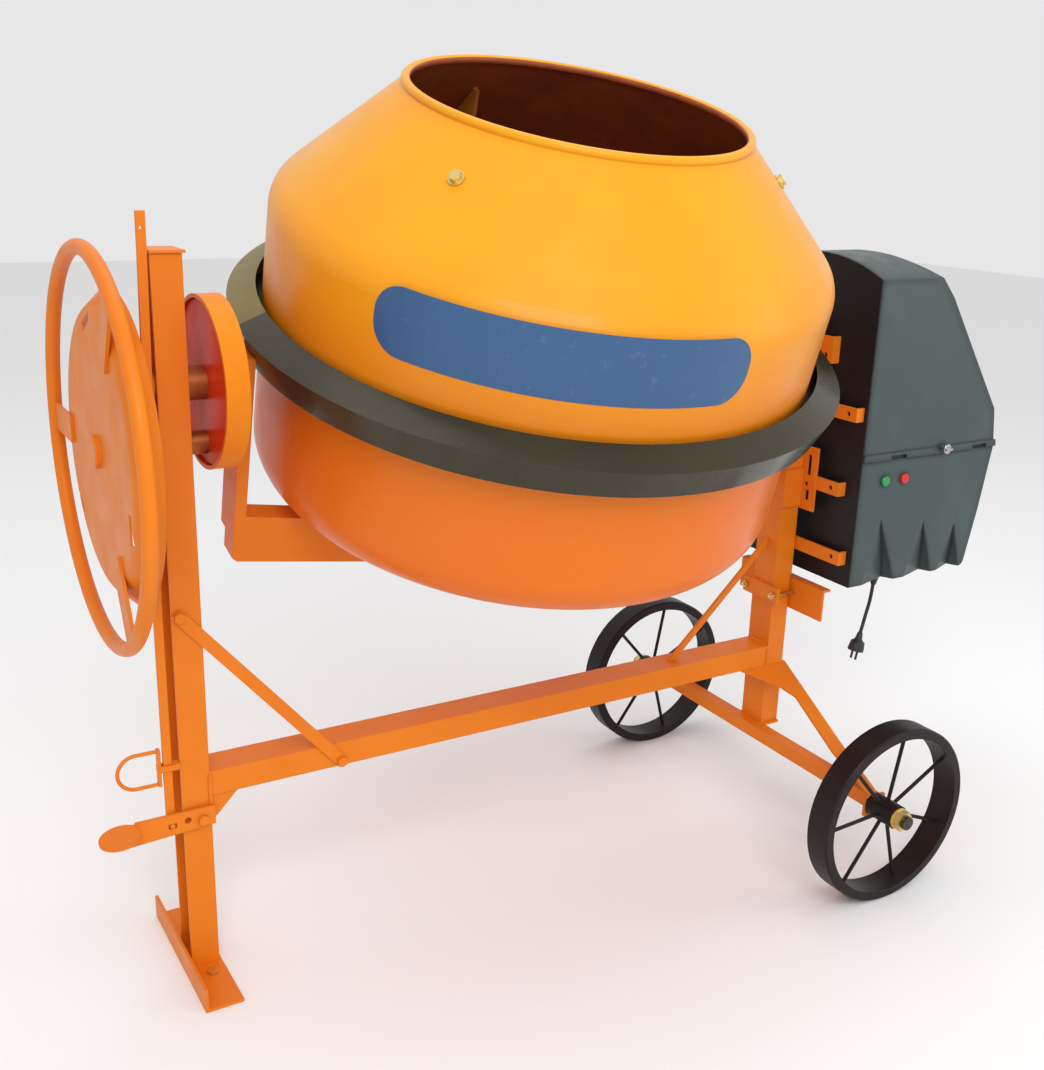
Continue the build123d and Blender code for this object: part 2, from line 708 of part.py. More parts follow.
def belt_loop(r1, r2, width):
    """Solid round both pulley radii, joined by the tangent runs."""
    gap = TILT_Z - MOTOR_Z
    ang = math.asin((r1 - r2) / gap)
    c, s = math.cos(ang), math.sin(ang)
    pts = [(r1 * c, r1 * s), (r2 * c, r2 * s - gap), (-r2 * c, r2 * s - gap), (-r1 * c, r1 * s)]
    x0, x1 = PULLEY_X - width / 2, PULLEY_X + width / 2
    plane = Plane(origin=(x0, MID_Y, TILT_Z), x_dir=(0, 1, 0), z_dir=(1, 0, 0))
    part = rod_x(x0, x1, MID_Y, TILT_Z, r1) + rod_x(x0, x1, MID_Y, MOTOR_Z, r2)
    return part + prism(pts, plane, width)


def cable_gland():
    """Strain relief on the underside of the box."""
    bore = CORD_D / 2
    top = BOX_WALL + 2
    profile = [(bore, top), (9, top), (9, BOX_WALL), (5.7, BOX_WALL), (5.7, 0)]
    profile += [(10, 0), (10, -5), (5, -24), (bore, -24)]
    return Pos(CORD_X, CORD_Y, BOX_Z0) * turned(profile)


CORD_PATH = [
    (CORD_X, CORD_Y, BOX_Z0 + 4),
    (CORD_X, CORD_Y, BOX_Z0 - 44),
    (CORD_X - 13, CORD_Y, BOX_Z0 - 94),
    (CORD_X - 20, CORD_Y, BOX_Z0 - 124),
]


def power_cord():
    """Short hanging mains cord."""
    path = FilletPolyline(*CORD_PATH, radius=60)
    return sweep(Plane(origin=CORD_PATH[0], z_dir=(0, 0, -1)) * Circle(CORD_D / 2), path=path)


def cord_plug():
    """Moulded mains plug with round pins."""
    end = Vector(*CORD_PATH[-1])
    before = Vector(*CORD_PATH[-2])
    plane = Plane(origin=end, x_dir=(0, 1, 0), z_dir=(end - before).normalized())
    body = turned([(0, 0), (5, 0), (7.5, 14), (14, 20), (16, 34), (16, 38), (0, 38)])
    for y in (-6.0, 6.0):
        body += Pos(y, 0, 38) * extruded_circle(2.4, 18)
    return plane * body


# ---------------------------------------------------------------- lock and pedal
def lock_bar():
    """Long flat bar that rises past the column cap, with its link pin."""
    y0, y1 = 0.0, BAR_T
    line = [(LINK_X, PEDAL_Z - 8), (LINK_X, 640), (LINK_X + 10, 1150), (LINK_X + 10.5, BAR_TOP)]
    half = BAR_W / 2
    shape = [(x - half, z) for x, z in line] + [(x + half, z) for x, z in reversed(line)]
    part = prism(shape, Plane(origin=(0, y1, 0), x_dir=(1, 0, 0), z_dir=(0, -1, 0)), y1 - y0)
    part += rod_y(LINK_X, -9, 0, PEDAL_Z, 4)
    part -= rod_y(LINK_X + 10, -1, BAR_T + 1, BAR_TOP - 22, 2.5)
    return part


def lock_pedal():
    """Foot pedal: flat arm with an oval pad, a pivot hole and a link slot."""
    y0, y1 = -9.0, -4.0
    arm = [(4, PEDAL_Z + 20), (-120, PEDAL_Z + 20), (-148, PEDAL_Z - 20), (4, PEDAL_Z - 12)]
    front = Plane(origin=(0, y1, 0), x_dir=(1, 0, 0), z_dir=(0, -1, 0))
    part = prism(arm, front, y1 - y0)
    part -= rod_y(PEDAL_X, y0 - 1, y1 + 1, PEDAL_Z, 5 + FIT)
    part -= block(LINK_X - 6.5, LINK_X + 6.5, y0 - 1, y1 + 1, PEDAL_Z - 4.5, PEDAL_Z + 4.5)
    part -= Plane(origin=(-40, 0, PEDAL_Z + 4), z_dir=(0, -1, 0)) * hexagon(6, 20)
    pad = extrude(Ellipse(32, 27), 5)
    part += Pos(-146, -20, PEDAL_Z + 6) * Rot(0, -6, 0) * Rot(8, 0, 0) * pad
    return part


# ---------------------------------------------------------------- handwheel
def handwheel_rim():
    """Round tube ring."""
    return Plane(origin=(HAND_X, MID_Y, HAND_Z), z_dir=(1, 0, 0)) * Torus(HAND_RIM_R, HAND_TUBE_R)


def handwheel_spokes():
    """Three flat straps from the disc out to the rim."""
    tube = Plane(origin=(HAND_X, 0, 0), z_dir=(1, 0, 0)) * Torus(HAND_RIM_R, HAND_TUBE_R)
    parts = []
    for ang in (0, 120, 240):
        flat = block(HAND_X - 2.5, DISC_FACE, DISC_R - 70, HAND_RIM_R - HAND_TUBE_R + 2, -21, 21)
        parts.append((flat - tube).rotate(Axis.X, ang).translate((0, MID_Y, HAND_Z)))
    return group(parts)


def handwheel_disc():
    """Pan-shaped disc with a hub boss, a rounded shoulder and three slots."""
    x0 = DISC_FACE
    x1 = x0 + DISC_T
    turn = math.atan2(DISC_X - x0, DISC_R - SHOULDER_AT)
    inner_end = DISC_R - DISC_T / math.sin(turn)
    inner_at = SHOULDER_AT - DISC_T * math.tan(turn / 2)
    outer = FilletPolyline((24, x0), (SHOULDER_AT, x0), (DISC_R, DISC_X), radius=30)
    inner = FilletPolyline((inner_end, DISC_X), (inner_at, x1), (20, x1), radius=30 - DISC_T)
    hub = [(20, x1), (20, HAND_X + 34), (HAND_R, HAND_X + 34), (HAND_R, x0 - 4), (0, x0 - 4)]
    hub += [(0, x0 - 9), (22, x0 - 9), (24, x0 - 7), (24, x0)]
    edge = Line((DISC_R, DISC_X), (inner_end, DISC_X))
    part = lathe(outer, edge, inner, Polyline(*hub))
    for ang in (0, 120, 240):
        slot = Rot(0, 0, ang) * Pos(-166, -71, x0) * Box(13, 44, 30)
        part -= slot
    return Plane(origin=(0, MID_Y, HAND_Z), x_dir=(0, 1, 0), z_dir=(1, 0, 0)) * part


def handwheel_shaft():
    """Shaft from the handwheel hub through the column bush to the pinion."""
    return rod_x(DISC_FACE - 4, DISH_X1 - 7, MID_Y, HAND_Z, HAND_R)


def tilt_pinion():
    """Small gear that turns the tilt gear from inside."""
    pts = gear_outline(HAND_TEETH, TILT_M, TILT_M * 0.9, TILT_M * 1.25, 0.5)
    x0 = DISH_X1 - 8 - TILT_FACE
    plane = Plane(origin=(x0, MID_Y, HAND_Z), x_dir=(0, 1, 0), z_dir=(1, 0, 0))
    pts = [turn_point(x, y, math.radians(270)) for x, y in pts]
    return prism(pts, plane, TILT_FACE) - rod_x(x0 - 5, DISH_X1, MID_Y, HAND_Z, HAND_R)


# ---------------------------------------------------------------- yoke
def tilt_gear():
    """Dish with internal teeth that carries the yoke's left arm."""
    web = DISH_X1 - 6
    part = rod_x(DISH_X0, DISH_X1, MID_Y, TILT_Z, DISH_R)
    part -= rod_x(DISH_X0 - 1, COVER_X + COVER_T + GAP, MID_Y, TILT_Z, DISH_R - 6)
    pts = gear_outline(TILT_TEETH, TILT_M, TILT_M * 1.25, TILT_M * 0.8, -0.3)
    pts = [turn_point(x, y, math.radians(270)) for x, y in pts]
    plane = Plane(origin=(DISH_X0, MID_Y, TILT_Z), x_dir=(0, 1, 0), z_dir=(1, 0, 0))
    part -= prism(pts, plane, web - DISH_X0)
    part += rod_x(web, ARM_X, MID_Y, TILT_Z, 40)
    return part - rod_x(DISH_X0, ARM_X + 1, MID_Y, TILT_Z, TRUNNION_R)


def gear_cover():
    """Fixed disc on the two bushes that closes the mouth of the dish."""
    part = rod_x(COVER_X, COVER_X + COVER_T, MID_Y, TILT_Z, DISH_R - 7.5)
    for z, r in ((TILT_Z, TRUNNION_R), (HAND_Z, HAND_R)):
        part -= rod_x(COVER_X - 1, COVER_X + COVER_T + 1, MID_Y, z, r + BUSH_WALL)
    return part


def lean(part):
    """Turn a part built upright about the tilt axis into its rest lean."""
    return part.rotate(Axis((0, MID_Y, TILT_Z), (1, 0, 0)), TILT_DEG)


def yoke_arm():
    """Left arm with half of the V-shaped cross beam, built upright."""
    x0, x1 = ARM_X, ARM_X + ARM_T
    z = TILT_Z
    arm = block(x0, x1, MID_Y - ARM_D / 2, MID_Y + ARM_D / 2, z + YOKE_IN - 40, z + ARM_TOP)
    slope = YOKE_DROP / (DRUM_X - x1)
    foot = z + YOKE_OUT - YOKE_DROP
    shape = [(x1, z + YOKE_IN), (DRUM_X, z + YOKE_IN - YOKE_DROP), (DRUM_X, foot)]
    shape += [(x0 + 8, z + YOKE_OUT), (x0, z + YOKE_OUT + 8), (x0, z + YOKE_IN)]
    front = Plane(origin=(0, MID_Y + YOKE_FRONT, 0), x_dir=(1, 0, 0), z_dir=(0, -1, 0))
    beam = prism(shape, front, -YOKE_BEAM_D)
    w = WALL
    hollow = [(x1 + w, z + YOKE_IN - w - w * slope), (DRUM_X + 5, z + YOKE_IN - YOKE_DROP - w)]
    hollow += [(DRUM_X + 5, foot + w), (x1 + w, z + YOKE_OUT + 2)]
    inside = Plane(origin=(0, MID_Y + YOKE_FRONT + w, 0), x_dir=(1, 0, 0), z_dir=(0, -1, 0))
    beam -= prism(hollow, inside, -(YOKE_BEAM_D - 2 * w))
    part = arm + beam
    part -= rod_z(DRUM_X, MID_Y, z - 500, z - 200, HOUSING_R)
    return part


def yoke_left():
    """Left yoke half with the solid tilt shaft."""
    part = yoke_arm() + rod_x(-COL_W - 8, ARM_X, MID_Y, TILT_Z, TRUNNION_R)
    return lean(part)


def yoke_right():
    """Right yoke half with the hollow tilt sleeve around the drive shaft."""
    part = yoke_arm().mirror(Plane.YZ.offset(DRUM_X))
    x0 = 2 * DRUM_X - ARM_X - ARM_T
    part += rod_x(x0, SPAN + COL_W + 8, MID_Y, TILT_Z, SLEEVE_R)
    part -= rod_x(x0 - 1, SPAN + COL_W + 20, MID_Y, TILT_Z, SHAFT_R + FIT)
    return lean(part)


def yoke_housing():
    """Bearing housing of the drum spindle at the middle of the yoke."""
    profile = [
        (SPINDLE_R + 15, HOUSING_TOP),
        (HOUSING_R, HOUSING_TOP),
        (HOUSING_R, HOUSING_BOTTOM),
        (0, HOUSING_BOTTOM),
        (0, HOUSING_BOTTOM + 6),
        (SPINDLE_R + 15, HOUSING_BOTTOM + 6),
    ]
    return DRUM_PLANE * turned(profile)


def spindle_bearings():
    """Two bearing rings pressed in the housing."""
    parts = []
    for z in (HOUSING_TOP - 24, HOUSING_BOTTOM + 26):
        bore, rim = SPINDLE_R + FIT, SPINDLE_R + 15
        ring = [(bore, z), (rim, z), (rim, z + 18), (bore, z + 18)]
        parts.append(DRUM_PLANE * turned(ring))
    return group(parts)


def guard_half(side):
    """Half of the ring-gear guard: sloping top, skirt and bolting lugs."""
    t = GUARD_T
    profile = [
        (GUARD_IN, GUARD_TOP),
        (GUARD_R, GUARD_EDGE),
        (GUARD_LOW_R, GUARD_BOTTOM),
        (GUARD_LOW_R - t, GUARD_BOTTOM),
        (GUARD_R - 1.4 * t, GUARD_EDGE - 0.7 * t),
        (GUARD_IN, GUARD_TOP - t),
    ]
    ring = turned(profile)
    cut = Box(1200, 1200, 400, align=(Align.CENTER, Align.MIN, Align.CENTER))
    half = ring & Rot(0, 0, GUARD_JOINT - 180) * (cut if side > 0 else Rot(0, 0, 180) * cut)
    under = turned(profile[:3] + [(GUARD_IN, GUARD_BOTTOM)])
    for ang in (GUARD_JOINT, GUARD_JOINT + 180):
        lug = Pos(GUARD_R - 22, side_offset(side, ang), GUARD_EDGE) * Box(30, 4, 36)
        lug -= Pos(LUG_BOLT_R, 0, LUG_BOLT_Z) * Rot(90, 0, 0) * Cylinder(3.2, 20)
        half += under & (Rot(0, 0, ang) * lug)
    half = DRUM_PLANE * half
    for x in (ARM_X, 2 * DRUM_X - ARM_X - ARM_T):
        half_d = ARM_D / 2
        top = TILT_Z + ARM_TOP
        half -= lean(block(x, x + ARM_T, MID_Y - half_d, MID_Y + half_d, TILT_Z - 60, top))
    return half


def side_offset(side, ang):
    """Side of the joint plane on which a guard half's lug stands."""
    turn = 1 if ang == GUARD_JOINT else -1
    return -2.0 * side * turn


def guard_bolts():
    """Bolts through the lugs of the guard joints."""
    parts = []
    for ang in (GUARD_JOINT, GUARD_JOINT + 180):
        local = Plane(origin=(LUG_BOLT_R, -4, LUG_BOLT_Z), z_dir=(0, -1, 0))
        body = bolt(local, 8, 3.0, nut=8)
        parts.append(DRUM_PLANE * (Rot(0, 0, ang) * body))
    return group(parts)


# ---------------------------------------------------------------- drum
def drum_lower():
    """Deep bowl with a rounded bottom edge."""
    r = DRUM_R
    t = DRUM_WALL
    b = DRUM_BOTTOM
    outer = FilletPolyline((0, b), (r, b), (r, SEAM), radius=EDGE_R)
    inner = FilletPolyline((r - t, SEAM), (r - t, b + t), (0, b + t), radius=EDGE_R - t)
    part = lathe(outer, Line((r, SEAM), (r - t, SEAM)), inner, Line((0, b + t), (0, b)))
    for x, y in shaft_bolts():
        part -= rod_z(x, y, b - 1, b + t + 1, 6)
    return DRUM_PLANE * part


def shaft_bolts():
    """Positions of the bolts through the drum bottom."""
    out = []
    for n in range(6):
        a = math.radians(60 * n)
        out.append((72 * math.cos(a), 72 * math.sin(a)))
    return out


def drum_upper():
    """Belt and cone with a rolled mouth edge."""
    r = DRUM_R
    t = DRUM_WALL
    inner_z = SHOULDER_Z - t * math.tan(CONE_TURN / 2)
    inner_r = MOUTH_R - t / math.cos(CONE_TURN)
    outer = FilletPolyline((r, SEAM), (r, SHOULDER_Z), (MOUTH_R, CONE_TOP), radius=SHOULDER_R)
    inner = FilletPolyline((inner_r, CONE_TOP), (r - t, inner_z), (r - t, SEAM), radius=SHOULDER_R - t)
    lip = Line((MOUTH_R, CONE_TOP), (inner_r, CONE_TOP))
    part = lathe(outer, lip, inner, Line((r - t, SEAM), (r, SEAM)))
    part += Pos(0, 0, CONE_TOP) * Torus(MOUTH_R, ROLL_R)
    for spot in paddle_spots():
        part -= spot * Cylinder(6, 60)
    return DRUM_PLANE * part


def cone_frame(ang, along):
    """Frame on the cone wall, Z along the outward normal; along runs 0 to 1 up the cone."""
    r = DRUM_R + (MOUTH_R - DRUM_R) * along
    z = SHOULDER_Z + (CONE_TOP - SHOULDER_Z) * along
    a = math.radians(ang)
    out = math.cos(CONE_TURN)
    return Plane(
        origin=(r * math.cos(a), r * math.sin(a), z),
        x_dir=(-math.sin(a), math.cos(a), 0),
        z_dir=(out * math.cos(a), out * math.sin(a), math.sin(CONE_TURN)),
    )


def paddle_spots():
    """Bolt frames of the paddles on the cone."""
    return [cone_frame(a, PADDLE_ALONG) for a in PADDLE_ANGLES]


def paddle(ang):
    """Mixing blade standing off the wall on a foot below and a lug above."""
    blade_r = DRUM_R - 62
    plate = Pos(blade_r, 0, 50) * Rot(0, 0, 35) * Box(6, 84, 400)
    inner = Cylinder(DRUM_R - DRUM_WALL, 1000)
    foot = (Pos(blade_r + 35, 0, -60) * Box(74, 6, 34)) & inner
    wall = cone_frame(0, PADDLE_ALONG) * Pos(0, 0, -DRUM_WALL - 150) * Box(400, 400, 300)
    lug = (Pos(blade_r - 33, 0, 293) * Box(78, 6, 120)) & wall
    return Rot(0, 0, ang) * (plate + foot + lug)


def paddles():
    """Three mixing blades."""
    return DRUM_PLANE * group([paddle(a) for a in PADDLE_ANGLES])


def paddle_bolts():
    """Bolts with washers that hold the paddles through the cone."""
    parts = []
    for spot in paddle_spots():
        body = spot * extruded_circle(12, 3)
        body += spot * Pos(0, 0, 3) * hexagon(9, 6)
        body += spot * Pos(0, 0, -3) * extruded_circle(5.5, 4)
        parts.append(DRUM_PLANE * body)
    return group(parts)


def ring_gear():
    """Crown gear round the drum, teeth facing down."""
    tip = DRIVE_TEETH * DRIVE_M / 2 - 0.9 * DRIVE_M
    root = tip + 2.1 * DRIVE_M
    back = tip + RING_BACK
    ring = turned([(RING_IN, tip), (RING_OUT, tip), (RING_OUT, back), (RING_IN, back)])
    pitch = math.pi * (RING_IN + RING_OUT) / RING_TEETH
    wide = pitch * 0.39
    narrow = pitch * 0.18
    shape = [(-wide, tip - 1), (wide, tip - 1), (narrow, root), (-narrow, root)]
    start = Plane(origin=(RING_IN + 6, 0, 0), x_dir=(0, 1, 0), z_dir=(1, 0, 0))
    gap = prism(shape, start, RING_OUT - RING_IN)
    gaps = [Rot(0, 0, 360 / RING_TEETH * n) * gap for n in range(RING_TEETH)]
    return DRUM_PLANE * (ring - gaps)


def drum_shaft():
    """Flange and spindle under the drum, turning in the yoke housing."""
    b = DRUM_BOTTOM
    end = HOUSING_BOTTOM + 12
    pts = [(0, b), (95, b), (95, b - 10), (36, b - 12)]
    pts += [(SPINDLE_R, b - 16), (SPINDLE_R, end), (0, end)]
    part = turned(pts)
    for x, y in shaft_bolts():
        part += rod_z(x, y, b, b + DRUM_WALL, 6)
        part += rod_z(x, y, b - 20, b - 5, 5)
        part += Pos(x, y, b + DRUM_WALL) * hexagon(10, 6)
        part += Pos(x, y, b - 18) * hexagon(10, 8)
    return DRUM_PLANE * part


# ---------------------------------------------------------------- drive
def drive_shaft():
    """Shaft from the drum pinion through the tilt sleeve to the large pulley."""
    x0 = DRUM_X + RING_IN + 3
    return rod_x(x0, PULLEY_X + PULLEY_W / 2 + 6, MID_Y, TILT_Z, SHAFT_R)


def drive_pinion():
    """Pinion that drives the ring gear from below."""
    pts = gear_outline(DRIVE_TEETH, DRIVE_M, DRIVE_M * 0.75, DRIVE_M * 1.1, 1.6)
    lift = math.radians(90) + TILT
    pts = [turn_point(x, y, lift) for x, y in pts]
    x0 = DRUM_X + RING_IN + 7
    plane = Plane(origin=(x0, MID_Y, TILT_Z), x_dir=(0, 1, 0), z_dir=(1, 0, 0))
    part = prism(pts, plane, RING_OUT - RING_IN - 9)
    return part - rod_x(x0 - 5, x0 + 60, MID_Y, TILT_Z, SHAFT_R)


# ---------------------------------------------------------------- wheels
def wheel(side):
    """Flat steel band, thin round spokes and hub tube, welded up."""
    y = AXLE_MID + side * WHEEL_OFF
    r = WHEEL_R
    w = WHEEL_W / 2
    inner = r - WHEEL_RADIAL
    part = turned([(inner, -w), (r - 3, -w), (r, -w + 3), (r, w - 3), (r - 3, w), (inner, w)])
    part += Pos(0, 0, -HUB_L / 2) * extruded_circle(HUB_R, HUB_L)
    for n in range(SPOKES):
        spoke = Rot(0, 90, 0) * Pos(0, 0, HUB_R - 4) * extruded_circle(3.5, inner - HUB_R + 8)
        part += Rot(0, 0, 80 - 360 * n / SPOKES) * spoke
    part -= Pos(0, 0, -60) * extruded_circle(AXLE_R + FIT, 120)
    return Plane(origin=(WHEEL_X, y, r), x_dir=(1, 0, 0), z_dir=(0, -1, 0)) * part


def axle_nuts():
    """End nuts and split pins on both axle spindles."""
    parts = []
    for side in (-1, 1):
        y = AXLE_MID + side * (WHEEL_OFF + HUB_L / 2 + 1)
        plane = Plane(origin=(WHEEL_X, y, WHEEL_R), x_dir=(1, 0, 0), z_dir=(0, side, 0))
        nut = extruded_circle(20, 3) + Pos(0, 0, 3) * hexagon(19, 14)
        nut -= Pos(0, 0, -1) * extruded_circle(AXLE_R, 40)
        parts.append(plane * nut)
    return group(parts)


# ---------------------------------------------------------------- write every node
NODES = {
    "left_column": left_column,
    "foot_angle": foot_angle,
    "main_beam": main_beam,
    "left_strap_brace": left_strap_brace,
    "right_brace": right_brace,
    "right_lower_column": right_lower_column,
    "right_upper_column": right_upper_column,
    "clamp_bar": clamp_bar,
    "clamp_angle": clamp_angle,
    "clamp_bolts": clamp_bolts,
    "axle_beam": axle_beam,
    "axle_braces": axle_braces,
    "foot_bolts": foot_bolts,
    "frame_bolts": frame_bolts,
    "gear_cover": gear_cover,
    "tilt_bearing": tilt_bearing,
    "handwheel_bearing": handwheel_bearing,
    "drive_bearing": drive_bearing,
    "bearing_plate": bearing_plate,
    "box_tabs": box_tabs,
    "bar_guide": bar_guide,
    "box_back_plate": box_back_plate,
    "box_base": box_base,
    "motor": motor,
    "drive_belt": drive_belt,
    "cable_gland": cable_gland,
    "power_cord": power_cord,
    "cord_plug": cord_plug,
    "axle_nuts": axle_nuts,
    "lock_bar": lock_bar,
    "lock_pedal": lock_pedal,
    "handwheel_rim": handwheel_rim,
    "handwheel_spokes": handwheel_spokes,
    "handwheel_disc": handwheel_disc,
    "handwheel_shaft": handwheel_shaft,
    "tilt_pinion": tilt_pinion,
    "tilt_gear": tilt_gear,
    "yoke_left": yoke_left,
    "yoke_right": yoke_right,
    "yoke_housing": yoke_housing,
    "spindle_bearings": spindle_bearings,
    "gear_guard_rear": lambda: guard_half(1),
    "gear_guard_front": lambda: guard_half(-1),
    "guard_bolts": guard_bolts,
    "drum_lower": drum_lower,
    "drum_upper": drum_upper,
    "ring_gear": ring_gear,
    "drum_shaft": drum_shaft,
    "paddles": paddles,
    "paddle_bolts": paddle_bolts,
    "drive_shaft": drive_shaft,
    "drive_pinion": drive_pinion,
    "large_pulley": large_pulley,
    "motor_pulley": motor_pulley,
    "front_wheel": lambda: wheel(-1),
    "rear_wheel": lambda: wheel(1),
    "box_lid": box_lid,
    "lid_knob": lid_knob,
    "start_button": lambda: push_button(BUTTON_X[0]),
    "stop_button": lambda: push_button(BUTTON_X[1]),
}

for node, make in NODES.items():
    shape = make()
    print(node, len(shape.solids()), round(shape.volume / 1000, 1))
    export_step(shape, "parts/" + node + ".step")
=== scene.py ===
import json
import math

import bpy
from mathutils import Matrix, Vector


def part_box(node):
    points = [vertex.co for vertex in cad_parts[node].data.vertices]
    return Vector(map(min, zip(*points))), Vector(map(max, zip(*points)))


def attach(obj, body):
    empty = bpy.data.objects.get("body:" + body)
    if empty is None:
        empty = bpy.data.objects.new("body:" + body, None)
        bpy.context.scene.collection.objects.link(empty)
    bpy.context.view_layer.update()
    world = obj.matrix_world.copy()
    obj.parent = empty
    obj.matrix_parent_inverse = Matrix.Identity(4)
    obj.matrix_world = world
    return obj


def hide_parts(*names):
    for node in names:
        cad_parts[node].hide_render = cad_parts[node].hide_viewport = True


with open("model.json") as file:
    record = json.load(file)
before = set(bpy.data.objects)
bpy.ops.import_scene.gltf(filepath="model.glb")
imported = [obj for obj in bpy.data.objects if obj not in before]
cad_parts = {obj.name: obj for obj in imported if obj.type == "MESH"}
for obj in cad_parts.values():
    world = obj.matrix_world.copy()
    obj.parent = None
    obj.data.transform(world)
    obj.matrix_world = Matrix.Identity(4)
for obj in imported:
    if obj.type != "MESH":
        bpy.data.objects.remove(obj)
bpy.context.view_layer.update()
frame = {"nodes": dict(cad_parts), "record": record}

# ---------------------------------------------------------------- places and sizes (metres)
DRUM_CENTRE = Vector((0.585, 0.030, 0.959))
DRUM_LEAN = math.radians(16.3)
DRUM_MIDDLE = DRUM_CENTRE + Vector((0, -0.28067, 0.95981)) * 0.10
DRUM_R = 0.446
DRUM = Matrix.Translation(DRUM_CENTRE) @ Matrix.Rotation(DRUM_LEAN, 4, "X")
TILT_AXIS = Vector((0.0, 0.030, 0.959))
DISH_TEETH_X = (0.0325, 0.0524)
DISH_RIM_R = 0.1212
DISH_HUB_R = 0.060
AXLE_MIDDLE_Y = -0.008
SPINDLE_FROM = 0.330

LABEL_ANGLES = (math.radians(-152.7), math.radians(-82.7))
LABEL_HEIGHTS = (0.140, 0.240)
LABEL_CORNER = 0.045
LABEL_LIFT = 0.0005

STEP = 0.0001            # width of a sharp change of colour

CORD_ROUTE = [
    (1.327, -0.088, 0.510),
    (1.327, -0.088, 0.462),
    (1.314, -0.088, 0.412),
    (1.307, -0.088, 0.382),
]
CORD_D = 0.007


# ---------------------------------------------------------------- enamel colours
FRAME_ORANGE = ((0.74, 0.195, 0.010), (0.66, 0.135, 0.009))
RIM_ORANGE = ((0.78, 0.240, 0.010), (0.68, 0.165, 0.009))
DISH_RED = ((0.66, 0.052, 0.006), (0.52, 0.036, 0.006))
# painted light on the drum: a redder painted shade low down and a yellower painted highlight high
# up
DRUM_PAINTED_SHADE = (0.74, 0.150, 0.009)
DRUM_PAINTED_HIGHLIGHT = (0.78, 0.345, 0.009)
DRUM_CLOUD = (0.72, 0.190, 0.010)
DRUM_INSIDE = ((0.44, 0.100, 0.030), (0.24, 0.055, 0.024))


